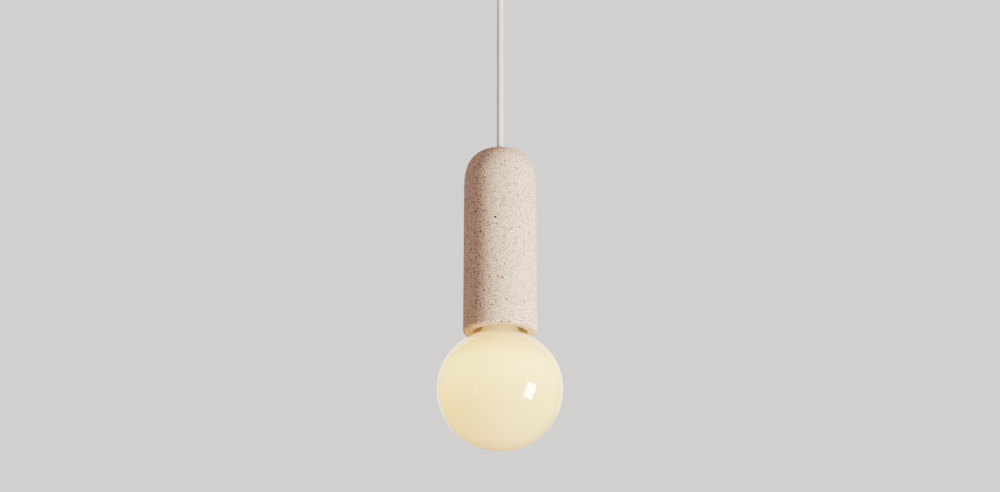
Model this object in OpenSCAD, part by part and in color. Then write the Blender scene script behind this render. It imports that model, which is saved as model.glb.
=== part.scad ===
// Pendant ceiling light: a thin domed stone tube hangs on a round cord and holds a large
// opal globe lamp at its mouth. Millimetres, +Z up, origin at the ceiling, hanging to -Z.

/* [Stone shell] */
// Outside diameter of the stone tube
shell_d = 74.5; // [70:0.5:84]
// Height of the stone tube from rim to dome top
shell_h = 197; // [190:1:240]
// Thickness of the tube wall
wall_t = 9.75; // [8:0.25:12]
// Height of the dome
dome_h = 43.5; // [36:0.5:50]
// How square the dome's shoulder is
dome_n = 2.85; // [2.2:0.05:3.2]
// Thickness of the dome over the seat
roof_t = 14; // [11:0.5:18]
// Rounding of the rim's outer edge
rim_r = 2.5; // [1:0.25:3.5]
// Rounding of the mouth's inner edge
mouth_r = 1.2; // [0.6:0.2:2]

/* [Cord] */
// Diameter of the cord
cord_d = 6.7; // [6.2:0.1:7]
// Free cord between the ceiling gland and the stone
drop = 186; // [160:1:1500]
// Clearance around the cord in the stone
cord_gap = 0.4; // [0.3:0.1:1]
// Diameter of one insulated core
core_d = 2.2; // [1.8:0.1:2.4]

/* [Lamp] */
// Diameter of the globe
globe_d = 125; // [118:1:130]
// Height of the globe's upper half
globe_up = 59; // [56:0.5:61]
// Thickness of the glass
glass_t = 1.2; // [0.8:0.1:1.6]
// Distance from the globe's centre up to the stone rim
globe_drop = 57; // [56:0.5:66]
// Distance from the globe's centre up to the end of the glass neck
neck_up = 86; // [84:1:94]
// Pitch of the lamp thread
pitch = 3.629; // [3:0.001:4]
// Height of the lamp's threaded cap
cap_h = 24; // [22:0.5:26]

/* [Ceiling canopy] */
// Diameter of the canopy
canopy_d = 100; // [92:1:130]
// Height of the canopy
canopy_h = 35.5; // [34:0.5:46]
// Sheet thickness of the canopy
canopy_t = 1.5; // [1:0.1:2]
// Distance between the two ceiling screw slots
slot_pitch = 60; // [54:1:66]
// Width of a ceiling screw slot
slot_w = 4.6; // [4:0.1:5]
// Length of a ceiling screw slot
slot_len = 15; // [10:0.5:16]

/* [Fits] */
// Gap between a screw and its threaded hole
screw_gap = 0.05; // [0.02:0.01:0.1]
// Gap between pieces that move past each other
move_gap = 0.3; // [0.2:0.05:0.5]

/* [Hidden] */
$fn = 64;

// Levels, measured down from the ceiling
canopy_top = -0.5;
canopy_z = canopy_top - canopy_h;
gland_flange = 3;
gland_len = 22;
gland_tip = canopy_z - gland_len;
pivot_up = 2.5;
pivot_z = gland_tip + pivot_up;
shell_top = gland_tip - drop;
rim_z = shell_top - shell_h;
seat_z = shell_top - roof_t;
lamp_z = rim_z - globe_drop;

// Cord
cord_r = cord_d / 2;
hole_r = cord_r + cord_gap;
cord_sides = 12;
joint_gap = cord_r + move_gap;

// Stone shell
shell_r = shell_d / 2;
bore_r = shell_r - wall_t;
cavity_round = 8;

// Cores inside the cord, set in a triangle around its axis
core_r = core_d / 2;
core_step = core_d + 0.4;
core_x = core_step / 2;
core_low_y = -core_step * tan(30) / 2;
core_high_y = core_step / (2 * cos(30));
core_out = 1;
end_gap = 0.3;

// Seat, grip and stem
washer_t = 2;
disc_t = 2;
seat_r = bore_r - 8.5;
stem_bore = cord_r + 0.35;
stem_r = stem_bore + 1.3;
grip_r = stem_r + 3.5;
grip_h = 22;
grip_thread = 9.5;
nut_t = 3;
nut_r = stem_r + 3.1;
tag_t = 0.8;
tag_r = 7.4;
tag_w = 3.2;
tag_len = 14;
grip_top = seat_z - washer_t - disc_t;
grip_z = grip_top - grip_h;
grip_screw_r = 2;

// Lamp cap and lampholder, built up from the end of the glass neck
cap_z = lamp_z + neck_up;
thread_r = 12.6;
thread_a = 0.5;
thread_gap = 0.35;
thread_sides = 32;
cap_wall = 0.5;
insulator_h = 3.2;
button_h = 1.8;
button_r = 4.8;
contact_gap = 0.2;
contact_z = cap_z + cap_h + insulator_h + button_h + contact_gap;
dimple_h = 0.7;
strip_t = 0.8;
insert_z = contact_z + dimple_h + strip_t;
insert_h = 11;
insert_r = 18.4;
post_h = 7;
post_w = 7;
post_x = 9;
rivet_r = 1.5;
sleeve_r = thread_r + thread_a + thread_gap + 0.6;
sleeve_len = 24;
skirt_r = 21.3;
skirt_z = cap_z - 4;
skirt_shoulder = insert_z + 1.3;
skirt_mouth_r = 16.5;
holder_top = insert_z + insert_h + post_h + 22;
holder_t = 1.4;
collar_r = skirt_r - holder_t - 0.15;
holder_boss = 3;
stem_z = holder_top - 8;
sheath_z = stem_z - 3;

// Cord's route, straight down from its bend to the lampholder
cord_start = pivot_z - joint_gap;
cord_rings = 18;
cord_route = [
    for (i = [0:cord_rings]) [0, 0, cord_start + (sheath_z - cord_start) * i / cord_rings]
];

// Glass: its flattened shoulder turns into a drawn neck that ends in a spigot inside the cap;
// the heights here are measured from the globe's centre
glass_turn = 64;
neck_r = 13.4;
spigot_r = thread_r - thread_a - cap_wall - 0.1;
spigot_h = 5;

// Inner parts of the lamp, standing on a flared glass mount sealed into the neck
mount_r = 3.5;
mount_end = 22;
flare_r = spigot_r - glass_t - 0.15;
flare_z = neck_up + spigot_h - 1;
flare_h = 10;
spoke_r = 0.5;
filament_n = 6;
filament_r = 0.9;
filament_at = 11;
filament_low = -20;
filament_up = 20;
board_w = 17;
board_t = 1.6;
board_h = 14;
capacitor_r = 4;
capacitor_h = 11;

// Canopy end
canopy_round = 5;
gland_bore = cord_r + 0.25;
gland_thread_r = gland_bore + 2.9;
gland_r = gland_thread_r + 2.5;
gland_mouth_r = gland_bore + 2.4;
gland_taper = 4;
gland_thread_h = 7.5;
gland_screw_z = canopy_z - 10;
stub_top = canopy_z + gland_thread_h + 2.5;
bracket_t = 1.5;
bracket_w = 20;
tab_x = canopy_d / 2 - 4;
tab_h = 16;
side_z = -9;
side_r = 2;
side_head = 2.6;
pole_r = core_r + 1.5;
pole_x = pole_r + 2.4;
pole_y = 4;
pole_z = -bracket_t - 7.5;
block_x = pole_x + pole_r + 1.9;
block_y = 8;
block_h = 13.5;
block_sink = 2.2;
wire_r = 1.5;
earth_x = 16;
earth_r = 3.8;
earth_tail = 12;

// Slots in the screw heads
driver_slot = 0.8;
fine_slot = 0.6;

// ---- helpers ----

// Point at t on a cubic curve with four control points
function curve_at(p, t) =
    pow(1 - t, 3) * p[0] + 3 * pow(1 - t, 2) * t * p[1]
    + 3 * (1 - t) * t * t * p[2] + pow(t, 3) * p[3];

// A smooth run of points along chained cubic curves
function curve(p, steps) = [for (i = [0:steps]) curve_at(p, i / steps)];

function unit(v) = v / norm(v);

// An insulated core's route: straight out of the sheath's end, upwards where up is 1 and
// downwards where it is -1, then one curve that arrives at its end from the point before it
function core_route(start, up, rise, before, end) =
    concat([start],
           curve([start + [0, 0, up * core_out], start + [0, 0, up * (core_out + rise)],
                  before, end], 14));

// Direction of travel at point i of a route
function heading(route, i) =
    unit(route[min(i + 1, len(route) - 1)] - route[max(i - 1, 0)]);

// A round tube or wire swept along a route; side is any direction off the route's own plane
module swept(route, r, sides, side) {
    n = len(route);
    points = [
        for (i = [0:n - 1])
            let (t = heading(route, i), u = unit(cross(t, side)), v = cross(t, u))
                for (k = [0:sides - 1])
                    route[i] + r * (cos(360 * k / sides) * u + sin(360 * k / sides) * v)
    ];
    walls = [
        for (i = [0:n - 2])
            for (k = [0:sides - 1])
                [i * sides + k, i * sides + (k + 1) % sides,
                 (i + 1) * sides + (k + 1) % sides, (i + 1) * sides + k]
    ];
    start = [[for (k = [0:sides - 1]) sides - 1 - k]];
    end = [[for (k = [0:sides - 1]) (n - 1) * sides + k]];
    polyhedron(points, concat(walls, start, end), convexity = 4);
}

// How fully the thread is formed at height z between its run-out ends
function formed(z, z0, z1) = max(0, min(1, (z - z0) / pitch, (z1 - z) / pitch));

// Radius of a right-handed round thread at height z and angle a: it grows out of radius m,
// outwards by twice thread_a where side is 1 and inwards where side is -1
function thread_at(m, side, z, a, z0, z1) =
    m + thread_a * formed(z, z0, z1) * (side + cos(360 * (z - cap_z) / pitch - a));

// Closed wall through a stack of rings, given as [z, radius, thread side or 0 for plain]
module ring_wall(rings, z0, z1) {
    n = len(rings);
    s = thread_sides;
    points = [
        for (q = rings)
            for (k = [0:s - 1])
                let (a = 360 * k / s, r = q[2] == 0 ? q[1] : thread_at(q[1], q[2], q[0], a, z0, z1))
                    [r * cos(a), r * sin(a), q[0]]
    ];
    faces = [
        for (i = [0:n - 1])
            for (k = [0:s - 1])
                for (f = [
                    [i * s + k, ((i + 1) % n) * s + k, ((i + 1) % n) * s + (k + 1) % s],
                    [i * s + k, ((i + 1) % n) * s + (k + 1) % s, i * s + (k + 1) % s]
                ]) f
    ];
    polyhedron(points, faces, convexity = 6);
}

// Quarter section of a round cup with a rounded corner, for turning
module cup_section(r, h, f) {
    square([r, h - f]);
    square([r - f, h]);
    intersection() {
        translate([r - f, h - f]) circle(f);
        translate([r - f, h - f]) square(f);
    }
}

// Hexagon nut with a round hole, sitting on height z
module nut(z, r, h, hole) {
    translate([0, 0, z]) difference() {
        cylinder(r = r, h = h, $fn = 6);
        translate([0, 0, -1]) cylinder(r = hole, h = h + 2);
    }
}

// Ring with a plain round hole
module ring(z, r, h, hole) {
    translate([0, 0, z]) difference() {
        cylinder(r = r, h = h);
        translate([0, 0, -1]) cylinder(r = hole, h = h + 2);
    }
}

// Slotted pan-head screw lying along +X with its head's outer face at x = 0
module screw_x(r, head_r, head_h, length) {
    rotate([0, 90, 0]) difference() {
        union() {
            cylinder(r = head_r, h = head_h);
            cylinder(r = r, h = length);
        }
        translate([-driver_slot / 2, -head_r - 1, -1])
            cube([driver_slot, 2 * head_r + 2, 1 + head_h / 2]);
    }
}

// ---- ceiling end ----

module ceiling_bracket() {
    color("silver") difference() {
        union() {
            translate([-tab_x, -bracket_w / 2, -bracket_t])
                cube([2 * tab_x, bracket_w, bracket_t]);
            for (s = [-1, 1])
                translate([s > 0 ? tab_x - bracket_t : -tab_x, -bracket_w / 2, -tab_h])
                    cube([bracket_t, bracket_w, tab_h]);
        }
        for (s = [-1, 1]) {
            translate([s * slot_pitch / 2, 0, -bracket_t - 1]) {
                for (e = [-1, 1])
                    translate([e * (slot_len - slot_w) / 2, 0, 0])
                        cylinder(d = slot_w, h = bracket_t + 2);
                translate([-(slot_len - slot_w) / 2, -slot_w / 2, 0])
                    cube([slot_len - slot_w, slot_w, bracket_t + 2]);
            }
            translate([s * tab_x, 0, side_z]) rotate([0, 90, 0])
                cylinder(r = side_r + screw_gap, h = 4 * bracket_t, center = true);
        }
        translate([0, 0, -bracket_t - 1]) cylinder(r = wire_r + screw_gap, h = bracket_t + 2);
        translate([earth_x, 0, -bracket_t - 1])
            cylinder(r = side_r + screw_gap, h = bracket_t + 2);
    }
}

module canopy() {
    color("white") difference() {
        translate([0, 0, canopy_top]) rotate([180, 0, 0]) rotate_extrude() difference() {
            cup_section(canopy_d / 2, canopy_h, canopy_round);
            translate([0, -1])
                cup_section(canopy_d / 2 - canopy_t, canopy_h - canopy_t + 1, canopy_round - canopy_t);
        }
        translate([0, 0, canopy_z - 1])
            cylinder(r = gland_thread_r + screw_gap, h = canopy_t + 2);
        for (s = [-1, 1])
            translate([s * canopy_d / 2, 0, side_z]) rotate([0, 90, 0])
                cylinder(r = side_r + 0.3, h = 6 * canopy_t, center = true);
    }
}

module canopy_screws() {
    color("gainsboro")
        for (s = [0, 180])
            rotate([0, 0, s]) translate([-canopy_d / 2 - side_head, 0, side_z])
                screw_x(side_r, 2 * side_r, side_head - 0.2, canopy_d / 2 + side_head - tab_x + 5);
}

module gland_body() {
    color("white") difference() {
        union() {
            translate([0, 0, canopy_z - gland_flange]) cylinder(r = gland_r + 2, h = gland_flange);
            translate([0, 0, gland_tip + gland_taper])
                cylinder(r = gland_r, h = gland_len - gland_taper);
            translate([0, 0, gland_tip]) cylinder(r1 = gland_r - 1.5, r2 = gland_r, h = gland_taper);
            translate([0, 0, canopy_z - 0.5])
                cylinder(r = gland_thread_r, h = gland_thread_h + 0.5);
        }
        translate([0, 0, gland_tip - 1])
            cylinder(r = gland_bore, h = gland_len + gland_thread_h + 2);
        translate([0, 0, gland_tip - 0.01])
            cylinder(r1 = gland_mouth_r, r2 = gland_bore, h = pivot_up + 2);
        translate([0, 0, gland_screw_z]) rotate([0, -90, 0])
            cylinder(r = grip_screw_r + screw_gap, h = gland_r + 1);
    }
}

module gland_nut() {
    color("gainsboro")
        nut(canopy_z + canopy_t, nut_r + 2.4, nut_t + 1, gland_thread_r + screw_gap);
}

module gland_screw() {
    color("gainsboro") translate([-gland_r - 0.4, 0, gland_screw_z])
        screw_x(grip_screw_r, grip_screw_r, 1, gland_r + 0.4 - cord_r - 0.05);
}

module terminal_block() {
    color("whitesmoke") difference() {
        translate([-block_x, -block_y, -bracket_t - block_h])
            cube([2 * block_x, 2 * block_y, block_h]);
        for (s = [-1, 1]) translate([s * pole_x, 0, pole_z]) {
            rotate([90, 0, 0]) cylinder(r = pole_r, h = 40, center = true);
            for (e = [-1, 1])
                translate([0, e * pole_y, -20]) cylinder(r = wire_r + 0.5, h = 20);
        }
        translate([0, 0, -bracket_t - block_h - 1]) {
            cylinder(r = wire_r + 0.2, h = block_h + 2);
            cylinder(r = 2.2, h = block_sink + 1);
        }
    }
}

module terminal_barrels() {
    color("goldenrod") for (s = [-1, 1]) translate([s * pole_x, 0, pole_z]) difference() {
        rotate([90, 0, 0]) cylinder(r = pole_r - screw_gap, h = 2 * block_y - 2, center = true);
        rotate([90, 0, 0]) cylinder(r = core_r + 0.25, h = 40, center = true);
        for (e = [-1, 1])
            translate([0, e * pole_y, -10]) cylinder(r = wire_r + screw_gap, h = 10);
    }
}

module terminal_screws() {
    color("silver") for (s = [-1, 1]) for (e = [-1, 1])
        translate([s * pole_x, e * pole_y, pole_z - core_r - 0.2]) rotate([0, 180, 0]) difference() {
            cylinder(r = wire_r, h = 5);
            translate([-fine_slot / 2, -5, 4.2]) cube([fine_slot, 10, 2]);
        }
}

module block_screw() {
    shank = block_h - block_sink + bracket_t - 0.2;
    color("silver") translate([0, 0, -bracket_t - block_h + block_sink]) difference() {
        union() {
            translate([0, 0, -1.6]) cylinder(r = 2.1, h = 1.6);
            translate([0, 0, -0.1]) cylinder(r = wire_r, h = shank + 0.1);
        }
        translate([-fine_slot / 2, -5, -3]) cube([fine_slot, 10, 2]);
    }
}

module earth_screw() {
    color("goldenrod") translate([earth_x, 0, -bracket_t - tag_t]) {
        difference() {
            union() {
                translate([0, 0, -2.2]) cylinder(r = earth_r - 0.2, h = 2.2);
                translate([0, 0, -0.1]) cylinder(r = side_r, h = tag_t + bracket_t - 0.2);
            }
            translate([-driver_slot / 2, -5, -3.2]) cube([driver_slot, 10, 2]);
        }
    }
}

module earth_tag() {
    color("gold") translate([earth_x, 0, -bracket_t - tag_t]) difference() {
        union() {
            cylinder(r = earth_r, h = tag_t);
            translate([-tag_w / 2, 0, 0]) cube([tag_w, earth_tail, tag_t]);
        }
        translate([0, 0, -1]) cylinder(r = side_r + 0.2, h = 4);
    }
}

// Insulated cores from the end of the cord sheath up to the ceiling terminals
module top_core(s) {
    entry = [s * pole_x, -block_y - 1.5, pole_z];
    route = core_route([s * core_x, core_low_y, stub_top + end_gap], 1, 3, entry + [0, -12, 0], entry);
    swept(concat(route, [entry + [0, 5, 0]]), core_r, 8, [1, 0, 0]);
}

module top_live() {
    color("saddlebrown") top_core(-1);
}

module top_neutral() {
    color("royalblue") top_core(1);
}

module top_earth() {
    tag = [earth_x, earth_tail - 1, -bracket_t - tag_t - core_r - 0.1];
    color("limegreen")
        swept(core_route([0, core_high_y, stub_top + end_gap], 1, 3, tag + [0, 6, -12], tag),
              core_r, 8, [1, -1, 0]);
}

module cord_stub() {
    color("white") translate([0, 0, pivot_z + joint_gap])
        cylinder(r = cord_r, h = stub_top - pivot_z - joint_gap);
}

// ---- the cord and what hangs on it ----

module cord_bend() {
    color("white") translate([0, 0, pivot_z]) sphere(cord_r);
}

module cord() {
    color("white") swept(cord_route, cord_r, cord_sides, [1, 0, 0]);
}

module seat_washer() {
    color("dimgray") ring(seat_z - washer_t, seat_r - 1, washer_t, cord_r + 0.2);
}

module seat_disc() {
    color("silver") ring(grip_top, seat_r, disc_t, cord_r + 0.3);
}

module cord_grip() {
    color("goldenrod") translate([0, 0, grip_z]) difference() {
        cylinder(r = grip_r, h = grip_h);
        translate([0, 0, -1]) cylinder(r = cord_r + 0.2, h = grip_h + 2);
        translate([0, 0, -1]) cylinder(r = stem_r + screw_gap, h = grip_thread + 1);
        translate([0, 0, grip_h - 6]) rotate([0, 90, 0])
            cylinder(r = grip_screw_r + screw_gap, h = 20);
    }
}

module grip_screw() {
    color("silver") translate([grip_r + 0.4, 0, grip_top - 6]) rotate([0, 0, 180])
        screw_x(grip_screw_r, grip_screw_r, 1, grip_r + 0.4 - cord_r - 0.05);
}

module stem() {
    color("goldenrod")
        ring(stem_z, stem_r, grip_z + grip_thread - stem_z, stem_bore);
}

module stem_nuts() {
    color("goldenrod") {
        nut(grip_z - nut_t, nut_r, nut_t, stem_r + screw_gap);
        nut(holder_top, nut_r, nut_t, stem_r + screw_gap);
        nut(holder_top - holder_boss - nut_t, nut_r, nut_t, stem_r + screw_gap);
    }
}

module stem_tag() {
    color("gold") translate([0, 0, holder_top - holder_boss - nut_t - tag_t]) difference() {
        union() {
            cylinder(r = tag_r, h = tag_t);
            translate([-tag_w / 2, 0, 0]) cube([tag_w, tag_len, tag_t]);
        }
        translate([0, 0, -1]) cylinder(r = stem_r + 0.2, h = 4);
    }
}

// Insulated cores from the end of the cord sheath down to the lampholder's posts
module low_core(s) {
    end = [s * post_x, 0, insert_z + insert_h + post_h - 2.5];
    swept(core_route([s * core_x, core_low_y, sheath_z - end_gap], -1, 5, end + [0, 0, 11], end),
          core_r, 8, [0, 1, 0]);
}

module core_live() {
    color("saddlebrown") low_core(-1);
}

module core_neutral() {
    color("royalblue") low_core(1);
}

module core_earth() {
    tag = [0, tag_len - 1.5, holder_top - holder_boss - nut_t - tag_t - core_r - 0.1];
    color("limegreen")
        swept(core_route([0, core_high_y, sheath_z - end_gap], -1, 5, tag + [0, 2, -9], tag),
              core_r, 8, [1, 0, 0]);
}

module holder_cap() {
    h = holder_top - skirt_shoulder;
    color([0.12, 0.12, 0.12]) translate([0, 0, skirt_shoulder]) difference() {
        rotate_extrude() difference() {
            cup_section(skirt_r, h, 11);
            translate([0, -1])
                cup_section(skirt_r - holder_t, h - holder_boss + 1, 11 - holder_t);
        }
        cylinder(r = stem_r + screw_gap, h = h + 1);
    }
}

module holder_insert() {
    color("ivory") translate([0, 0, insert_z]) difference() {
        cylinder(r = insert_r, h = insert_h);
        for (s = [-1, 1]) translate([s * post_x, 0, -1])
            cylinder(r = rivet_r + screw_gap, h = insert_h + 2);
        translate([0, 0, 4]) cylinder(r = 4.5, h = insert_h);
    }
}

module wire_posts() {
    color("goldenrod") for (s = [-1, 1])
        translate([s * post_x, 0, insert_z + insert_h]) difference() {
            translate([-post_w / 2, -post_w / 2, 0]) cube([post_w, post_w, post_h]);
            translate([0, 0, post_h - 3]) cylinder(r = core_r + 0.4, h = 5);
            translate([0, 0, post_h - 2.5]) rotate([0, s * 90, 0])
                cylinder(r = wire_r + screw_gap, h = post_w);
        }
}

module post_screws() {
    color("silver") for (s = [0, 180])
        rotate([0, 0, s]) translate([-post_x - post_w / 2 - 1.6, 0, insert_z + insert_h + post_h - 2.5])
            screw_x(wire_r, 2.2, 1.5, post_w / 2 + 1.5 - core_r);
}

module contact_rivets() {
    color("goldenrod") for (s = [-1, 1])
        translate([s * post_x, 0, insert_z]) cylinder(r = rivet_r, h = insert_h);
}

module centre_contact() {
    color("gold") translate([0, 0, insert_z - strip_t]) {
        translate([-post_x - 2, -3, 0]) cube([post_x + 5, 6, strip_t]);
        translate([0, 0, -dimple_h]) cylinder(r1 = 1.6, r2 = 2.8, h = dimple_h);
    }
}

module side_contact() {
    color("gold") translate([0, 0, insert_z - strip_t]) intersection() {
        translate([5.5, -3, 0]) cube([20, 6, strip_t]);
        cylinder(r = sleeve_r - 0.06, h = strip_t);
    }
}

module screw_shell() {
    z1 = insert_z - strip_t;
    z0 = z1 - sleeve_len;
    root = thread_r + thread_gap + thread_a;
    steps = round((sleeve_len - 1) / pitch * 8);
    color("silver") ring_wall(concat(
        [[z0, root, 0]],
        [for (i = [0:steps]) [z0 + 0.5 + (sleeve_len - 1) * i / steps, root, -1]],
        [[z1, root, 0], [z1, sleeve_r - 0.06, 0], [z0, sleeve_r - 0.06, 0]]),
        z0 + 0.5, z1 - 0.5);
}

module holder_skirt() {
    top = insert_z + insert_h;
    guard = insert_z - strip_t - sleeve_len;
    color([0.12, 0.12, 0.12]) rotate_extrude() difference() {
        union() {
            translate([0, skirt_z]) square([skirt_r, skirt_shoulder - skirt_z]);
            translate([0, skirt_shoulder - 1]) square([collar_r, top - skirt_shoulder + 1]);
        }
        translate([0, skirt_z - 1]) square([skirt_mouth_r, guard - skirt_z + 1]);
        translate([0, skirt_z - 1]) square([sleeve_r, insert_z - skirt_z + 1]);
        translate([0, insert_z]) square([insert_r + screw_gap, 40]);
    }
}

// ---- stone shell ----

// Outline of the dome above the straight tube, ending at radius r_end
function dome_line(r_end) = [
    for (a = [0:3:90])
        let (p = [shell_r * pow(cos(a), 2 / dome_n), shell_h - dome_h + dome_h * pow(sin(a), 2 / dome_n)])
            if (p[0] > r_end + 0.5) p
];

function arc(cx, cz, r, from, to, steps) =
    [for (i = [0:steps]) let (a = from + (to - from) * i / steps) [cx + r * cos(a), cz + r * sin(a)]];

module shell() {
    top = shell_h - roof_t;
    color([0.84, 0.79, 0.72]) translate([0, 0, rim_z]) rotate_extrude($fn = 96) polygon(concat(
        arc(shell_r - rim_r, rim_r, rim_r, -90, 0, 6),
        dome_line(hole_r),
        [[hole_r, shell_h], [hole_r, top]],
        arc(bore_r - cavity_round, top - cavity_round, cavity_round, 90, 0, 6),
        arc(bore_r + mouth_r, mouth_r, mouth_r, 180, 270, 4)));
}

// ---- lamp ----

module contact_button() {
    z = cap_z + cap_h + insulator_h;
    color("silver") translate([0, 0, z + move_gap]) {
        cylinder(r = button_r, h = button_h - move_gap - 0.8);
        translate([0, 0, button_h - move_gap - 0.8]) cylinder(r1 = button_r, r2 = 3, h = 0.8);
    }
}

module cap_insulator() {
    color([0.08, 0.08, 0.1]) translate([0, 0, cap_z + cap_h])
        cylinder(r1 = thread_r - thread_a - 1.4, r2 = button_r + 1.2, h = insulator_h);
}

module lamp_cap() {
    z0 = cap_z;
    z1 = cap_z + cap_h - 1.5;
    root = thread_r - thread_a;
    steps = round((z1 - z0 - 2) / pitch * 8);
    inner = root - cap_wall;
    color("gainsboro") ring_wall(concat(
        [[z0, thread_r + thread_a, 0]],
        [for (i = [0:steps]) [z0 + 2 + (z1 - z0 - 2) * i / steps, root, 1]],
        [[z1 + 1.5, root - 1.4, 0], [z1 + 1.5, root - 4, 0],
         [z1 + 0.9, root - 4, 0], [z1 - 0.6, inner, 0], [z0, inner, 0]]),
        z0 + 2, z1);
}

// Outline of the glass: bottom pole, equator, flattened shoulder, then a drawn neck;
// t is how far the outline lies inside the outer face
function glass_line(t) =
    let (r = globe_d / 2 - t, up = globe_up - t,
         low = [for (a = [-90:5:0]) [r * cos(a), r * sin(a)]],
         high = [for (a = [5:5:glass_turn]) [r * cos(a), up * sin(a)]],
         from = [r * cos(glass_turn), up * sin(glass_turn)],
         dir = unit([-r * sin(glass_turn), up * cos(glass_turn)]))
        concat(low, high,
               curve([from, from + 10 * dir, [neck_r - t, neck_up - 20], [neck_r - t, neck_up]], 10));

module globe() {
    inner = glass_line(glass_t);
    color([1, 0.97, 0.85, 0.6]) translate([0, 0, lamp_z]) rotate_extrude($fn = 96) polygon(concat(
        glass_line(0),
        [[spigot_r, neck_up], [spigot_r, neck_up + spigot_h],
         [spigot_r - glass_t, neck_up + spigot_h], [spigot_r - glass_t, neck_up - 1]],
        [for (i = [len(inner) - 2:-1:0]) inner[i]]));
}

module lamp_mount() {
    color([0.9, 0.95, 1, 0.4]) translate([0, 0, lamp_z]) {
        translate([0, 0, mount_end]) cylinder(r = mount_r, h = flare_z - 1 - flare_h - mount_end);
        translate([0, 0, flare_z - 1 - flare_h]) cylinder(r1 = mount_r, r2 = flare_r, h = flare_h);
        translate([0, 0, flare_z - 1]) cylinder(r = flare_r, h = 1);
    }
}

module lamp_spokes() {
    color("silver") translate([0, 0, lamp_z]) {
        translate([0, 0, filament_low - spoke_r])
            cylinder(r = 0.7, h = mount_end - filament_low + spoke_r);
        for (i = [0:filament_n - 1]) rotate([0, 0, 360 * i / filament_n]) {
            translate([0, 0, filament_low]) rotate([0, 90, 0])
                cylinder(r = spoke_r, h = filament_at + 1, $fn = 16);
            translate([0, 0, filament_up]) rotate([0, 90, 0])
                cylinder(r = spoke_r, h = filament_at + 1, $fn = 16);
        }
    }
}

module filaments() {
    color("gold") for (i = [0:filament_n - 1]) rotate([0, 0, 360 * i / filament_n])
        translate([filament_at, 0, lamp_z + filament_low + spoke_r])
            cylinder(r = filament_r, h = filament_up - filament_low - 2 * spoke_r, $fn = 24);
}

module driver_board() {
    color("seagreen") translate([-board_w / 2, -board_t / 2, lamp_z + flare_z + 0.2])
        cube([board_w, board_t, board_h]);
}

module driver_capacitor() {
    color("black") translate([0, -board_t / 2 - capacitor_r - 0.2, lamp_z + flare_z + 1])
        cylinder(r = capacitor_r, h = capacitor_h);
}

ceiling_bracket();
canopy();
canopy_screws();
gland_body();
gland_nut();
gland_screw();
terminal_block();
terminal_barrels();
terminal_screws();
block_screw();
earth_screw();
earth_tag();
top_live();
top_neutral();
top_earth();
cord_stub();
cord_bend();
cord();
seat_washer();
seat_disc();
cord_grip();
grip_screw();
stem();
stem_nuts();
stem_tag();
core_live();
core_neutral();
core_earth();
holder_cap();
holder_insert();
wire_posts();
post_screws();
contact_rivets();
centre_contact();
side_contact();
screw_shell();
holder_skirt();
shell();
contact_button();
cap_insulator();
lamp_cap();
globe();
lamp_mount();
lamp_spokes();
filaments();
driver_board();
driver_capacitor();
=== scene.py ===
# %% [markdown]
# # A stone pendant light
# A slim domed tube of speckled stone hangs on a white cord, and a big opal globe lamp is screwed
# into its mouth. The working parts come in ready made as a fixed frame. Here we give the light its
# looks: the cord, the stone and the glass are modelled anew, and every other part gets its finish.

import math
import random

import bmesh
import bpy
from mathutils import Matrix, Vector
from mathutils.kdtree import KDTree


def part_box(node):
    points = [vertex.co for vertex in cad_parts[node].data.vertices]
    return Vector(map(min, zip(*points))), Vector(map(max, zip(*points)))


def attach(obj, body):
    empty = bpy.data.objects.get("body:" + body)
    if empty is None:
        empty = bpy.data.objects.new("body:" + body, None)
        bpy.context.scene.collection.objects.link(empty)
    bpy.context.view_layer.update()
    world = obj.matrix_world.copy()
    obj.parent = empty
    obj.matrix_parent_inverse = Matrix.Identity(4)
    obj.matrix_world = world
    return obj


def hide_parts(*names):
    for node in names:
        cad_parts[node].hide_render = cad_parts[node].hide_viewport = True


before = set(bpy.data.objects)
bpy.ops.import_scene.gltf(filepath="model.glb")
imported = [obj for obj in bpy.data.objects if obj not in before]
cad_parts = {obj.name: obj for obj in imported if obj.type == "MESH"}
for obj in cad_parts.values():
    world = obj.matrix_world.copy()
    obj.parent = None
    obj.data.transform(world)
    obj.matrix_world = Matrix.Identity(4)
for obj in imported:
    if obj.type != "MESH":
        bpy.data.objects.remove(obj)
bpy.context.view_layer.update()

# %% [markdown]
# Every place is read from the frame: the stone's box gives the rim and the dome, and the glass
# globe's box gives the widest circle and the lowest point.

# %% Levels and sizes
MM = 0.001
stone_low, stone_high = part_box("shell")
RIM_Z = stone_low[2]
DOME_TOP_Z = stone_high[2]
STONE_R = stone_high[0]
STONE_H = DOME_TOP_Z - RIM_Z
glass_low, glass_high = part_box("globe")
GLASS_R = glass_high[0]
LAMP_Z = glass_low[2] + GLASS_R
print("rim", RIM_Z, "dome top", DOME_TOP_Z, "lamp centre", LAMP_Z)

# %% [markdown]
# ## The camera
# The light is seen from a little below, so the camera stands low, well in front, and tilts up.
# A long lens keeps the straight tube straight.

# %% Camera
CAMERA_BACK = 1.6518
CAMERA_DROP = 0.4463
CAMERA_PITCH = math.radians(19.84)
LENS_MM = 62.0


def add_camera():
    data = bpy.data.cameras.new("camera")
    data.lens = LENS_MM
    data.sensor_width = 36.0
    data.clip_end = 500.0
    camera = bpy.data.objects.new("camera", data)
    camera.location = (0.0, -CAMERA_BACK, LAMP_Z - CAMERA_DROP)
    camera.rotation_euler = (math.radians(90) + CAMERA_PITCH, 0.0, 0.0)
    bpy.context.scene.collection.objects.link(camera)
    bpy.context.scene.camera = camera
    return camera


camera = add_camera()
print("camera at", tuple(round(v, 3) for v in camera.location))

# %% [markdown]
# ## Building materials from nodes
# A finish is a small tree of nodes. These short helpers add a node, and make the usual start: a
# Principled shader with its plain numbers set on its own sockets.

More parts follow.
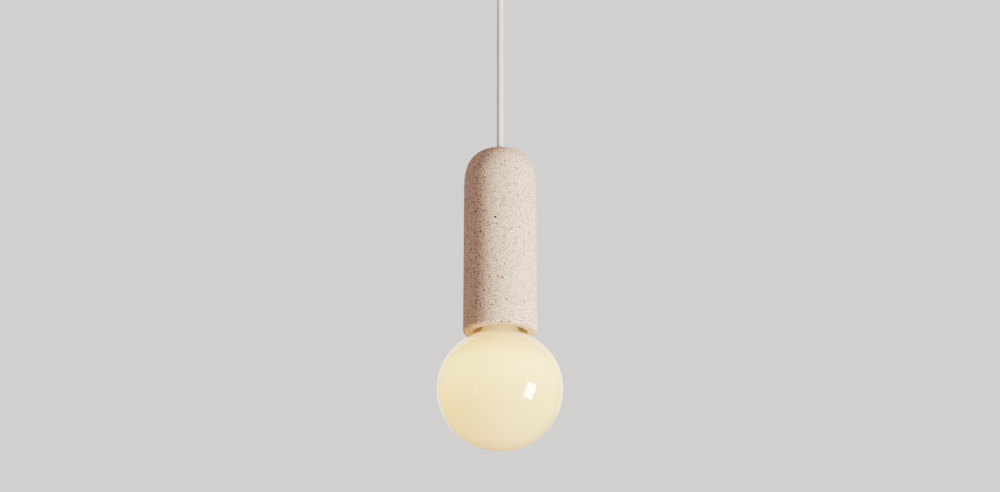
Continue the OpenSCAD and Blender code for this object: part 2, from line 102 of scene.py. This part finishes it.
# %% Helpers for finishes
def add_node(tree, kind, **values):
    node = tree.nodes.new(kind)
    for name, value in values.items():
        setattr(node, name, value)
    return node


def new_finish(name, colour, roughness, **sockets):
    material = bpy.data.materials.new(name)
    material.use_nodes = True
    shader = material.node_tree.nodes["Principled BSDF"]
    shader.inputs["Base Color"].default_value = (*colour, 1.0)
    shader.inputs["Roughness"].default_value = roughness
    for socket, value in sockets.items():
        shader.inputs[socket.replace("_", " ")].default_value = value
    return material, material.node_tree, shader


def dress(piece, material):
    piece.data.materials.clear()
    piece.data.materials.append(material)


print("finish helpers:", add_node.__name__, new_finish.__name__, dress.__name__)

# %% [markdown]
# Every pattern here is solid: it is worked out from the place of a point in the object, in metres,
# so grains and clouds run round corners and through holes without a seam. It could be painted on an
# unwrapped skin instead, but a solid pattern needs no unwrapping. A Mapping node only stretches it,
# and Map Range turns a soft grey noise into a clear edge.

# %% Helpers for patterns
def object_place(tree, scale=(1.0, 1.0, 1.0)):
    place = add_node(tree, "ShaderNodeTexCoord")
    mapping = add_node(tree, "ShaderNodeMapping")
    mapping.inputs["Scale"].default_value = scale
    tree.links.new(place.outputs["Object"], mapping.inputs["Vector"])
    return mapping.outputs["Vector"]


def noise(tree, place, scale, detail=4.0, roughness=0.55):
    node = add_node(tree, "ShaderNodeTexNoise")
    node.inputs["Scale"].default_value = scale
    node.inputs["Detail"].default_value = detail
    node.inputs["Roughness"].default_value = roughness
    tree.links.new(place, node.inputs["Vector"])
    return node.outputs["Fac"]


def stretch(tree, value, low, high, to_low=0.0, to_high=1.0):
    node = add_node(tree, "ShaderNodeMapRange")
    node.inputs["From Min"].default_value = low
    node.inputs["From Max"].default_value = high
    node.inputs["To Min"].default_value = to_low
    node.inputs["To Max"].default_value = to_high
    tree.links.new(value, node.inputs["Value"])
    return node.outputs["Result"]


print("pattern helpers:", object_place.__name__, noise.__name__, stretch.__name__)

# %% [markdown]
# A pattern does its work in two ways. It mixes two colours, or it raises and lowers the skin a
# little through a Bump node, which only bends the light and leaves the shape alone.

# %% Helpers for colour and bumps
def mix_colour(tree, amount, first, second):
    node = add_node(tree, "ShaderNodeMix", data_type="RGBA")
    for socket, value in ((node.inputs[0], amount), (node.inputs[6], first), (node.inputs[7], second)):
        if isinstance(value, bpy.types.NodeSocket):
            tree.links.new(value, socket)
        elif isinstance(value, tuple):
            socket.default_value = (*value, 1.0)
        else:
            socket.default_value = value
    return node.outputs[2]


def bump(tree, shader, height, strength, distance):
    node = add_node(tree, "ShaderNodeBump")
    node.inputs["Strength"].default_value = strength
    node.inputs["Distance"].default_value = distance
    tree.links.new(height, node.inputs["Height"])
    tree.links.new(node.outputs["Normal"], shader.inputs["Normal"])


print("colour and bump helpers:", mix_colour.__name__, bump.__name__)

# %% [markdown]
# ## The cord
# The real cord is a smooth round flex in a soft white sheath, pulled straight by the stone's weight.
# It could be a spun tube, but a curve with a round bevel says what it is: one line with a thickness.
# It starts inside the brass grip under the dome and ends in the flared mouth of the ceiling gland.

# %% Cord
CORD_D = 6.7 * MM
GRIP_DEPTH = 28 * MM
CORD_POINTS = 18
grip_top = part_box("cord_grip")[1][2]
cord_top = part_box("cord")[1][2]
cord_bottom = grip_top - GRIP_DEPTH


def make_cord():
    curve = bpy.data.curves.new("hanging_cord", "CURVE")
    curve.dimensions = "3D"
    curve.bevel_depth = CORD_D / 2
    curve.bevel_resolution = 10
    curve.use_fill_caps = True
    spline = curve.splines.new("POLY")
    spline.points.add(CORD_POINTS - 1)
    for index, point in enumerate(spline.points):
        z = cord_bottom + (cord_top - cord_bottom) * index / (CORD_POINTS - 1)
        point.co = (0.0, 0.0, z, 1.0)
    spline.use_smooth = True
    piece = bpy.data.objects.new("hanging_cord", curve)
    bpy.context.scene.collection.objects.link(piece)
    return piece


cord = make_cord()

# %% [markdown]
# The sheath is soft white plastic with a dull shine. A little light passes into it, and a fine grain
# drawn out along the cord breaks up the shine. The last lines hide the frame's cord, which this piece
# stands in for, and hang the piece on the body it moves with.

# %% Cord sheath
def sheath_finish():
    material, tree, shader = new_finish(
        "white_sheath", (0.80, 0.76, 0.74), 0.38, Coat_Weight=0.15, Coat_Roughness=0.25,
        Subsurface_Weight=0.08, Subsurface_Radius=(0.003, 0.002, 0.0015), Subsurface_Scale=0.4)
    place = object_place(tree, (1.0, 1.0, 0.25))
    grain = noise(tree, place, 900.0)
    tree.links.new(stretch(tree, grain, 0.3, 0.7, 0.32, 0.46), shader.inputs["Roughness"])
    bump(tree, shader, noise(tree, place, 260.0, 2.0), 0.12, 0.0003)
    return material


white_sheath = sheath_finish()
dress(cord, white_sheath)
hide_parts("cord")
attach(cord, "pendant")
print("sheath nodes", len(white_sheath.node_tree.nodes))

# %% [markdown]
# ## The room
# A pale floor lies far below, wide enough to reach the horizon. It looks bright to the eye, as the
# floor of a well lit studio does, but sends only a weak light back up.

# %% Floor
FLOOR_Z = -2.4
FLOOR_HALF = 200.0


def add_floor():
    mesh = bpy.data.meshes.new("floor")
    shape = bmesh.new()
    bmesh.ops.create_grid(shape, x_segments=1, y_segments=1, size=FLOOR_HALF)
    shape.to_mesh(mesh)
    shape.free()
    floor = bpy.data.objects.new("floor", mesh)
    floor.location.z = FLOOR_Z
    bpy.context.scene.collection.objects.link(floor)
    material, tree, shader = new_finish("pale_floor", (0.80, 0.89, 0.87), 0.8)
    shader.inputs["Emission Color"].default_value = (0.98, 1.02, 0.96, 1.0)
    rays = add_node(tree, "ShaderNodeLightPath")
    tree.links.new(rays.outputs["Is Camera Ray"], shader.inputs["Emission Strength"])
    dress(floor, material)
    return floor


floor = add_floor()
print("floor at", floor.location.z)

# %% [markdown]
# The world is pale to the eye too, and gives the object a dim, warm fill. A Light Path node tells
# the two apart: what the eye sees directly takes the first colour, and all other light the second.

# %% World
def add_world(backdrop, fill):
    world = bpy.data.worlds.new("pale_world")
    world.use_nodes = True
    tree = world.node_tree
    seen = tree.nodes["Background"]
    seen.inputs["Color"].default_value = (*backdrop, 1.0)
    felt = add_node(tree, "ShaderNodeBackground")
    felt.inputs["Color"].default_value = (*fill, 1.0)
    rays = add_node(tree, "ShaderNodeLightPath")
    choose = add_node(tree, "ShaderNodeMixShader")
    tree.links.new(rays.outputs["Is Camera Ray"], choose.inputs[0])
    tree.links.new(felt.outputs[0], choose.inputs[1])
    tree.links.new(seen.outputs[0], choose.inputs[2])
    tree.links.new(choose.outputs[0], tree.nodes["World Output"].inputs["Surface"])
    bpy.context.scene.world = world
    return world


world = add_world((1.5, 1.45, 1.4), (0.42, 0.275, 0.315))
print("world", world.name)

# %% [markdown]
# The key is a tall soft box at the right, at lamp height, whose small white picture shows in the
# glass. A faint box at the left and a broad, dim one high behind keep the far sides and the dome
# readable. Being broad, the last leaves only a thin pale edge on the glass.

# %% Soft boxes
def add_soft_box(name, towards, distance, size, power, colour, roll=0.0):
    data = bpy.data.lights.new(name, "AREA")
    data.shape = "RECTANGLE"
    data.size, data.size_y = size
    data.energy = power
    data.color = colour
    light = bpy.data.objects.new(name, data)
    direction = Vector(towards).normalized()
    light.location = Vector((0.0, 0.0, LAMP_Z)) + direction * distance
    light.rotation_euler = direction.to_track_quat("Z", "Y").to_euler()
    light.rotation_euler.rotate_axis("Z", roll)
    light.visible_camera = False
    bpy.context.scene.collection.objects.link(light)
    return light


add_soft_box("key_box", (0.821, -0.532, -0.208), 1.6, (0.50, 0.69), 120.0, (1.0, 0.955, 0.84),
             math.radians(-8))
add_soft_box("left_box", (-0.70, -0.68, -0.22), 1.7, (0.30, 0.62), 2.4, (1.0, 0.90, 0.86))
add_soft_box("back_box", (0.06, 0.84, 0.54), 2.2, (2.6, 2.4), 46.0, (1.0, 0.96, 0.92))
lights = [thing.name for thing in bpy.context.scene.objects if thing.type == "LIGHT"]
print("lights", sorted(lights))

# %% [markdown]
# ## The stone
# The tube is cast stone: a straight round wall, a dome a little squarer than half a ball, a seat
# inside for the disc that carries it, and softly broken edges. It could be cut from solids with
# Boolean modifiers, but one outline, turned once round, makes all of that with clean rows of faces.
# The outline is pieced together from arcs for the edges and evenly spaced points between them.

# %% Arcs and lines
BORE_R = 27.5 * MM
CORD_HOLE_R = 3.75 * MM
ROOF_T = 14 * MM
DOME_H = 43.5 * MM
DOME_SQUARE = 2.85
RIM_ROUND = 2.5 * MM
MOUTH_ROUND = 1.2 * MM
CAVITY_ROUND = 8 * MM
HOLE_ROUND = 0.5 * MM


def arc(centre_r, centre_z, radius, start, end, steps):
    points = []
    for step in range(steps + 1):
        angle = math.radians(start + (end - start) * step / steps)
        points.append((centre_r + radius * math.cos(angle), centre_z + radius * math.sin(angle)))
    return points


def line(start, end, pitch):
    steps = max(1, round(math.dist(start, end) / pitch))
    return [(start[0] + (end[0] - start[0]) * step / steps,
             start[1] + (end[1] - start[1]) * step / steps) for step in range(1, steps)]


print("rim arc points", len(arc(STONE_R - RIM_ROUND, RIM_ROUND, RIM_ROUND, -90, 0, 7)))

# %% [markdown]
# The dome follows a squared circle, so its shoulder is full and its top is flat. It stops short of
# the cord's hole, where a small arc rounds the hole's edge.

# %% Outline of the stone
def dome_line(steps):
    points = []
    for step in range(steps + 1):
        angle = math.radians(90 * step / steps)
        radius = STONE_R * max(0.0, math.cos(angle)) ** (2 / DOME_SQUARE)
        height = STONE_H - DOME_H + DOME_H * math.sin(angle) ** (2 / DOME_SQUARE)
        if radius > CORD_HOLE_R + HOLE_ROUND + 0.2 * MM:
            points.append((radius, height))
    return points


def stone_outline(pitch):
    rim = arc(STONE_R - RIM_ROUND, RIM_ROUND, RIM_ROUND, -90, 0, 7)
    dome = dome_line(64)
    mouth = arc(BORE_R + MOUTH_ROUND, MOUTH_ROUND, MOUTH_ROUND, 180, 270, 5)
    seat = STONE_H - ROOF_T
    roof = arc(BORE_R - CAVITY_ROUND, seat - CAVITY_ROUND, CAVITY_ROUND, 90, 0, 8)
    hole = arc(CORD_HOLE_R + HOLE_ROUND, STONE_H - HOLE_ROUND, HOLE_ROUND, 90, 180, 4)
    return (rim + line(rim[-1], dome[0], pitch) + dome + hole + [(CORD_HOLE_R, seat)] + roof
            + line(roof[-1], mouth[0], 6 * MM) + mouth + line(mouth[-1], rim[0], 1.2 * MM))


outline = stone_outline(1.5 * MM)
print("stone outline points", len(outline))

# %% [markdown]
# Spinning the outline's edges through a full turn closes the wall. The first and last rows of
# points meet there, so doubles are merged, and then the faces are made to point outwards. Merging
# leaves edges and faces in no fixed order, so they are put in the order of their corners: the dice
# that pick faces later must find the same list every time.

# %% Turning an outline
TURN_STEPS = 160


def steady_order(shape):
    shape.verts.index_update()
    count = len(shape.verts)

    def rank(element):
        places = [vert.index for vert in element.verts]
        return min(places) * count + max(places)

    shape.edges.sort(key=rank)
    shape.faces.sort(key=rank)
    shape.edges.index_update()
    shape.faces.index_update()


def spin_outline(shape, points, steps, base_z):
    verts = [shape.verts.new((radius, 0.0, base_z + height)) for radius, height in points]
    edges = [shape.edges.new((verts[i], verts[(i + 1) % len(verts)])) for i in range(len(verts))]
    bmesh.ops.spin(shape, geom=verts + edges, cent=(0, 0, 0), axis=(0, 0, 1), angle=2 * math.pi,
                   steps=steps, use_merge=True)
    bmesh.ops.remove_doubles(shape, verts=shape.verts[:], dist=1e-6)
    bmesh.ops.recalc_face_normals(shape, faces=shape.faces[:])
    steady_order(shape)


stone_shape = bmesh.new()
spin_outline(stone_shape, outline, TURN_STEPS, RIM_Z)
print("turned stone faces", len(stone_shape.faces))

# %% [markdown]
# Cast stone is full of tiny blow holes where air was trapped. Most are scattered by a seeded dice,
# so they fall in the same places every time. Sixteen larger ones on the front are listed with
# places of their own, some of them along the rim.

# %% Places of the blow holes
PIT_COUNT = 170
PIT_SMALL = 0.35 * MM
PIT_LARGE = 1.2 * MM
SKIN_MARGIN = 4 * MM
# Larger holes on the front, as sideways place, height above the rim and radius in millimetres
FRONT_PITS = (
    (-26.5, 169, 1.0), (17, 173, 0.8), (18, 164.5, 0.9), (17.5, 136.5, 1.1), (-26, 130, 1.0),
    (-25, 120.5, 1.2), (-5, 110.5, 1.2), (-20, 97, 1.0), (-11.5, 48, 0.9), (-2.5, 47.5, 1.0),
    (2, 46.5, 1.2), (0.8, 0.9, 1.2), (9.5, 0.9, 1.1), (-5, 1, 0.8), (26, 1, 0.9), (30.5, 1, 1.0),
)


def on_the_skin(face):
    centre = face.calc_center_median()
    shoulder = Vector((0.0, 0.0, min(centre.z, RIM_Z + STONE_H - DOME_H)))
    outside = centre.xy.length > BORE_R + SKIN_MARGIN or centre.z > RIM_Z + STONE_H - DOME_H / 2
    return outside and face.normal.dot(centre - shoulder) > 0


def choose_pits(shape, count, seed):
    dice = random.Random(seed)
    outer = [face for face in shape.faces if on_the_skin(face)]
    pits = []
    for face in dice.sample(outer, count):
        size = PIT_SMALL + (PIT_LARGE - PIT_SMALL) * dice.random() ** 2.5
        pits.append((face.calc_center_median().copy(), face.normal.copy(), size))
    front = [face for face in outer if face.normal.y < 0]
    for side, height, size in FRONT_PITS:
        wanted = Vector((side * MM, 0.0, RIM_Z + height * MM))
        face = min(front, key=lambda face: (face.calc_center_median() - wanted).xz.length)
        pits.append((face.calc_center_median().copy(), face.normal.copy(), size * MM))
    return pits


pits = choose_pits(stone_shape, PIT_COUNT, 7)
print("blow holes", len(pits))

# %% [markdown]
# The holes are real dents: the faces round each are cut finer, and the points inside a small circle
# are pushed in. Two attributes are kept for the finish: how deep a point lies in a hole, which sets
# its painted shade, and whether it is on the wall of the bore, which gets painted shade too.

# %% Stone body with blow holes
PIT_REACH = 2.2 * MM
PIT_DEPTH = 0.9


def press_pits(shape, pits):
    centres = KDTree(len(pits))
    for index, (centre, normal, size) in enumerate(pits):
        centres.insert(centre, index)
    centres.balance()
    near = [face for face in shape.faces
            if centres.find(face.calc_center_median())[2] < PIT_REACH]
    edges = sorted({edge for face in near for edge in face.edges}, key=lambda edge: edge.index)
    bmesh.ops.subdivide_edges(shape, edges=edges, cuts=3, use_grid_fill=True)
    hollow = shape.verts.layers.float.new("hollow")
    for vert in shape.verts:
        for place, index, distance in centres.find_range(vert.co, PIT_LARGE):
            centre, normal, size = pits[index]
            if distance < size:
                vert[hollow] = 1 - (distance / size) ** 2
                vert.co -= normal * PIT_DEPTH * size * vert[hollow]


def mark_bore(shape):
    # Marks the wall of the bore, which the finish greys and darkens as painted shade.
    inside = shape.verts.layers.float.new("inside")
    for vert in shape.verts:
        height = vert.co.z - RIM_Z
        if vert.co.xy.length < BORE_R + 0.2 * MM and MOUTH_ROUND < height < STONE_H - ROOF_T:
            vert[inside] = 1.0


def keep_shape(name, shape):
    for face in shape.faces:
        face.smooth = True
    mesh = bpy.data.meshes.new(name)
    shape.to_mesh(mesh)
    shape.free()
    piece = bpy.data.objects.new(name, mesh)
    bpy.context.scene.collection.objects.link(piece)
    return piece


press_pits(stone_shape, pits)
mark_bore(stone_shape)
stone = keep_shape("stone_tube", stone_shape)
print("stone faces", len(stone.data.polygons))

# %% [markdown]
# Up close the stone is peppered with dark brown grains of several sizes. They could be drawn with a
# noise and a hard edge, but noise gives blots of one family. Cells with a small dark heart are
# better: each grain is a cell's centre, and only some cells, picked by their own random colour, have
# one. A finer noise first moves every point a little, so that no grain is a perfect dot.

# %% Grains
def grains(tree, place, scale, size, share):
    cells = add_node(tree, "ShaderNodeTexVoronoi")
    cells.inputs["Scale"].default_value = scale
    tree.links.new(place, cells.inputs["Vector"])
    dot = stretch(tree, cells.outputs["Distance"], size, size * 0.7)
    picked = add_node(tree, "ShaderNodeSeparateColor")
    tree.links.new(cells.outputs["Color"], picked.inputs["Color"])
    chosen = stretch(tree, picked.outputs["Red"], share, share - 0.02)
    both = add_node(tree, "ShaderNodeMath", operation="MULTIPLY")
    tree.links.new(dot, both.inputs[0])
    tree.links.new(chosen, both.inputs[1])
    return both.outputs[0]


def larger(tree, first, second):
    node = add_node(tree, "ShaderNodeMath", operation="MAXIMUM")
    tree.links.new(first, node.inputs[0])
    tree.links.new(second, node.inputs[1])
    return node.outputs[0]


def wandering(tree, place):
    wander = add_node(tree, "ShaderNodeTexNoise")
    wander.inputs["Scale"].default_value = 700.0
    tree.links.new(place, wander.inputs["Vector"])
    shift = add_node(tree, "ShaderNodeVectorMath", operation="MULTIPLY_ADD")
    shift.inputs[1].default_value = (0.0008, 0.0008, 0.0008)
    tree.links.new(wander.outputs["Color"], shift.inputs[0])
    tree.links.new(place, shift.inputs[2])
    return shift.outputs["Vector"]


print("grain helpers:", grains.__name__, larger.__name__, wandering.__name__)

# %% [markdown]
# The body is a warm sand colour, clouded a little and mottled finely. The grains lie on it, the blow
# holes get painted shade that deepens with their depth, and the bore is greyed and darkened as painted
# shade for the unlit hollow of the tube. The grains also dent the surface, together with a fine grit.

# %% Stone finish
def stone_finish():
    material, tree, shader = new_finish("speckled_stone", (0.57, 0.40, 0.26), 0.9,
                                        Specular_IOR_Level=0.25)
    place = object_place(tree)
    rough_place = wandering(tree, place)
    fine = grains(tree, rough_place, 850.0, 0.44, 0.52)
    middle = grains(tree, rough_place, 450.0, 0.31, 0.50)
    coarse = grains(tree, rough_place, 250.0, 0.23, 0.30)
    dark = larger(tree, middle, coarse)
    cloud = stretch(tree, noise(tree, place, 45.0), 0.35, 0.65)
    body = mix_colour(tree, cloud, (0.51, 0.36, 0.22), (0.59, 0.43, 0.265))
    mottled = mix_colour(tree, stretch(tree, noise(tree, place, 800.0, 2.0), 0.40, 0.62),
                         body, (1.0, 0.76, 0.50))
    with_fine = mix_colour(tree, stretch(tree, fine, 0, 1, 0, 0.80), mottled, (0.11, 0.085, 0.065))
    peppered = mix_colour(tree, stretch(tree, dark, 0, 1, 0, 0.92), with_fine, (0.045, 0.036, 0.03))
    # Blow holes are darkened towards near black by their depth: painted shade in the hollows.
    hollow = add_node(tree, "ShaderNodeAttribute", attribute_name="hollow")
    shadow = stretch(tree, hollow.outputs["Fac"], 0.15, 0.5)
    pitted = mix_colour(tree, shadow, peppered, (0.02, 0.015, 0.012))
    # The bore's wall is pulled most of the way to a dull grey: painted shade for the unlit hollow of
    # the tube.
    inside = add_node(tree, "ShaderNodeAttribute", attribute_name="inside")
    bore_shade = stretch(tree, inside.outputs["Fac"], 0, 1, 0, 0.65)
    colour = mix_colour(tree, bore_shade, pitted, (0.40, 0.35, 0.32))
    tree.links.new(colour, shader.inputs["Base Color"])
    grit = noise(tree, place, 1500.0, 3.0)
    low = add_node(tree, "ShaderNodeMath", operation="MULTIPLY_ADD")
    low.inputs[1].default_value = -1.6
    tree.links.new(larger(tree, dark, stretch(tree, fine, 0, 1, 0, 0.5)), low.inputs[0])
    tree.links.new(grit, low.inputs[2])
    bump(tree, shader, low.outputs[0], 0.55, 0.0003)
    return material


speckled_stone = stone_finish()
dress(stone, speckled_stone)
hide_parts("shell")
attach(stone, "stone_shell")
print("stone finish nodes", len(speckled_stone.node_tree.nodes))

# %% [markdown]
# ## The globe lamp
# The lamp is one piece of blown opal glass: a ball a little flatter on top, drawn up into a neck.
# A ball with a pulled-out top would pinch at the neck, so an outline is drawn instead: an arc for
# the ball, a flatter arc for the shoulder and a smooth curve that runs up into the neck.

# %% Outline of the glass
GLASS_T = 1.2 * MM
GLASS_UP = 59 * MM
NECK_UP = 86 * MM
NECK_R = 13.4 * MM
SPIGOT_R = 11.5 * MM
SPIGOT_H = 5 * MM
SHOULDER_TURN = 64


def curve_points(first, second, third, last, steps):
    points = []
    for step in range(steps + 1):
        t = step / steps
        weights = ((1 - t) ** 3, 3 * (1 - t) ** 2 * t, 3 * (1 - t) * t * t, t ** 3)
        points.append(tuple(sum(w * p[k] for w, p in zip(weights, (first, second, third, last)))
                            for k in range(2)))
    return points


def glass_outline(inset):
    radius = GLASS_R - inset
    up = GLASS_UP - inset
    low = arc(0.0, 0.0, radius, -90, 0, 36)
    high = []
    for step in range(1, 33):
        angle = math.radians(SHOULDER_TURN * step / 32)
        high.append((radius * math.cos(angle), up * math.sin(angle)))
    turn = math.radians(SHOULDER_TURN)
    along = Vector((-radius * math.sin(turn), up * math.cos(turn))).normalized() * 10 * MM
    start = high[-1]
    leave = (start[0] + along[0], start[1] + along[1])
    neck = curve_points(start, leave, (NECK_R - inset, NECK_UP - 20 * MM), (NECK_R - inset, NECK_UP),
                        16)
    return low + high + neck[1:]


print("glass outline points", len(glass_outline(0.0)))

# %% [markdown]
# The outline is turned once round together with an inner one 1.2 mm inside it, so the open neck
# shows a real wall. Both ends of the outline lie on the axis, where the turned points are merged.

# %% Turn the glass
def make_globe():
    outer = glass_outline(0.0)
    inner = glass_outline(GLASS_T)[::-1]
    top = [(SPIGOT_R, NECK_UP), (SPIGOT_R, NECK_UP + SPIGOT_H),
           (SPIGOT_R - GLASS_T, NECK_UP + SPIGOT_H), (SPIGOT_R - GLASS_T, NECK_UP - MM)]
    points = outer + top + inner[1:]
    shape = bmesh.new()
    verts = [shape.verts.new((max(r, 0.0), 0.0, LAMP_Z + z)) for r, z in points]
    edges = [shape.edges.new(pair) for pair in zip(verts, verts[1:])]
    bmesh.ops.spin(shape, geom=verts + edges, cent=(0, 0, 0), axis=(0, 0, 1), angle=2 * math.pi,
                   steps=128, use_merge=True)
    bmesh.ops.remove_doubles(shape, verts=shape.verts[:], dist=1e-6)
    bmesh.ops.recalc_face_normals(shape, faces=shape.faces[:])
    steady_order(shape)
    return keep_shape("glass_globe", shape)


globe = make_globe()
print("globe faces", len(globe.data.polygons))

# %% [markdown]
# Opal glass hides the filaments and glows as a whole. Real scattered light inside milky glass is slow
# to work out and grainy, so the glass gives its light itself. The glow is stronger round the middle,
# nearest the filaments, and warmer towards the bottom. Towards the neck it fades: partly the real lamp
# glowing less by its cap, partly painted shade where the stone's mouth overhangs the glass. A list
# gives its colour at a few heights, and a ramp blends between them. The skin stays glossy, so the soft
# box and the room show in it as sharp, bright pictures.

# %% Opal finish
GLOW = 5.0
# Light that leaves the glass at each height above the lamp's centre, in millimetres; near the neck it
# is turned down, partly as painted shade from the stone's mouth
GLOW_AND_SHADE_STEPS = (
    (-62.5, (0.50, 0.30, 0.020)), (-53, (0.56, 0.37, 0.018)), (-37, (0.66, 0.46, 0.016)),
    (-16, (0.80, 0.57, 0.020)), (2, (0.95, 0.74, 0.055)), (17, (1.00, 0.77, 0.050)),
    (30, (0.86, 0.56, 0.030)), (40, (0.62, 0.395, 0.030)), (48, (0.42, 0.26, 0.035)),
    (54, (0.29, 0.185, 0.050)), (66, (0.13, 0.085, 0.030)),
)
GLASS_LOW = LAMP_Z - GLASS_R
GLASS_SPAN = GLASS_R + NECK_UP


def glow_and_shade_by_height(tree):
    place = add_node(tree, "ShaderNodeTexCoord")
    split = add_node(tree, "ShaderNodeSeparateXYZ")
    tree.links.new(place.outputs["Object"], split.inputs["Vector"])
    height = stretch(tree, split.outputs["Z"], GLASS_LOW, GLASS_LOW + GLASS_SPAN)
    ramp = add_node(tree, "ShaderNodeValToRGB")
    ramp.color_ramp.interpolation = "EASE"
    stops = ramp.color_ramp.elements
    stops.remove(stops[1])
    for up, colour in GLOW_AND_SHADE_STEPS:
        stop = stops.new((up * MM + GLASS_R) / GLASS_SPAN)
        stop.color = (*colour, 1.0)
    stops.remove(stops[0])
    tree.links.new(height, ramp.inputs["Fac"])
    return ramp.outputs["Color"]


def opal_finish():
    material, tree, shader = new_finish("opal_glass", (0.41, 0.35, 0.13), 0.09, IOR=1.5,
                                        Coat_Weight=1.0, Coat_Roughness=0.03)
    tree.links.new(glow_and_shade_by_height(tree), shader.inputs["Emission Color"])
    cloud = stretch(tree, noise(tree, object_place(tree), 18.0, 2.0), 0.3, 0.7, 0.97, 1.03)
    glow = add_node(tree, "ShaderNodeMath", operation="MULTIPLY")
    glow.inputs[1].default_value = GLOW
    tree.links.new(cloud, glow.inputs[0])
    tree.links.new(glow.outputs[0], shader.inputs["Emission Strength"])
    bump(tree, shader, noise(tree, object_place(tree), 60.0, 2.0), 0.02, 0.0004)
    return material


opal_glass = opal_finish()
dress(globe, opal_glass)
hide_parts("globe")
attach(globe, "lamp")
print("glow steps", len(GLOW_AND_SHADE_STEPS), "strength", GLOW)

# %% [markdown]
# ## Finishes for the working parts
# Most of the working parts hide in the stone or under the canopy, and come into sight when the
# stone is lifted. One recipe serves all metals: fine turning lines across the axis vary the shine
# and dent the skin, and a second noise lays a little tarnish.

# %% Metals
def metal_finish(name, colour, roughness, lines, tarnish):
    material, tree, shader = new_finish(name, colour, roughness, Metallic=1.0)
    place = object_place(tree, (1.0, 1.0, lines))
    rings = noise(tree, place, 120.0, 5.0)
    tree.links.new(stretch(tree, rings, 0.3, 0.7, roughness * 0.8, roughness * 1.3),
                   shader.inputs["Roughness"])
    stain = stretch(tree, noise(tree, object_place(tree), 160.0), 0.45, 0.75)
    tree.links.new(mix_colour(tree, stain, colour, tarnish), shader.inputs["Base Color"])
    bump(tree, shader, rings, 0.08, 0.0002)
    return material


print("metal recipe:", metal_finish.__name__)

# %% [markdown]
# The other recipe serves plastic, paint, rubber and ceramic: a fine grain in the shine and the
# bumps, a soft clouding of the colour, and a thin dull coat.

# %% Moulded parts
def moulded_finish(name, colour, roughness, grain=1200.0):
    material, tree, shader = new_finish(name, colour, roughness, Coat_Weight=0.1,
                                        Coat_Roughness=0.3)
    skin = noise(tree, object_place(tree), grain, 3.0)
    tree.links.new(stretch(tree, skin, 0.3, 0.7, roughness * 0.85, roughness * 1.15),
                   shader.inputs["Roughness"])
    shade = tuple(channel * 0.88 for channel in colour)
    cloud = stretch(tree, noise(tree, object_place(tree), 90.0), 0.35, 0.65)
    tree.links.new(mix_colour(tree, cloud, colour, shade), shader.inputs["Base Color"])
    bump(tree, shader, skin, 0.12, 0.0002)
    return material


print("moulded recipe:", moulded_finish.__name__)

# %% [markdown]
# From the two recipes come all the finishes of the working parts. Clear glass is the exception,
# because it only lets light through.

# %% The finishes
brass = metal_finish("turned_brass", (0.80, 0.60, 0.30), 0.28, 14.0, (0.62, 0.43, 0.20))
zinc = metal_finish("zinc_plate", (0.66, 0.67, 0.68), 0.42, 2.0, (0.55, 0.56, 0.56))
plated = metal_finish("bright_screw", (0.74, 0.74, 0.73), 0.25, 6.0, (0.60, 0.59, 0.57))
nickel = metal_finish("nickel_cap", (0.76, 0.73, 0.68), 0.22, 6.0, (0.66, 0.60, 0.52))
powder = moulded_finish("white_powder_coat", (0.82, 0.80, 0.78), 0.45, 1500.0)
nylon = moulded_finish("white_nylon", (0.80, 0.78, 0.76), 0.48)
black_holder = moulded_finish("black_moulding", (0.022, 0.021, 0.022), 0.42)
rubber = moulded_finish("black_rubber", (0.03, 0.03, 0.03), 0.75, 800.0)
ceramic = moulded_finish("dry_ceramic", (0.80, 0.77, 0.70), 0.7, 1000.0)
brown_core = moulded_finish("brown_core", (0.10, 0.045, 0.02), 0.4)
blue_core = moulded_finish("blue_core", (0.02, 0.09, 0.38), 0.4)
green_core = moulded_finish("green_core", (0.16, 0.34, 0.03), 0.4)
board = moulded_finish("green_board", (0.02, 0.12, 0.05), 0.4)
phosphor = moulded_finish("phosphor_coat", (0.90, 0.62, 0.20), 0.6)
black_glass = moulded_finish("black_glass", (0.01, 0.01, 0.012), 0.12)
clear_glass = new_finish("clear_glass", (0.95, 0.97, 1.0), 0.03, Transmission_Weight=0.9)[0]
print("finishes", len(bpy.data.materials))

# %% [markdown]
# Each finish lists the frame's parts that wear it. They could be modelled again, but their shapes
# are right already, so only their material changes.

# %% Dress the working parts
FINISHES = {
    zinc: ("ceiling_bracket", "seat_disc"),
    powder: ("canopy",),
    plated: ("canopy_screws", "gland_nut", "gland_screw", "terminal_screws", "block_screw",
             "grip_screw", "post_screws"),
    nylon: ("gland_body", "terminal_block"),
    white_sheath: ("cord_stub", "cord_bend"),
    brass: ("terminal_barrels", "earth_screw", "earth_tag", "cord_grip", "stem", "stem_nuts",
            "stem_tag", "wire_posts", "contact_rivets", "centre_contact", "side_contact"),
    rubber: ("seat_washer",),
    black_holder: ("holder_cap", "holder_skirt", "driver_capacitor"),
    ceramic: ("holder_insert",),
    nickel: ("screw_shell", "contact_button", "lamp_cap", "lamp_spokes"),
    brown_core: ("top_live", "core_live"),
    blue_core: ("top_neutral", "core_neutral"),
    green_core: ("top_earth", "core_earth"),
    board: ("driver_board",),
    phosphor: ("filaments",),
    black_glass: ("cap_insulator",),
    clear_glass: ("lamp_mount",),
}
for material, names in FINISHES.items():
    for name in names:
        dress(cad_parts[name], material)
left_out = set(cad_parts) - {name for names in FINISHES.values() for name in names}
print("nodes with a new piece in their place:", sorted(left_out))
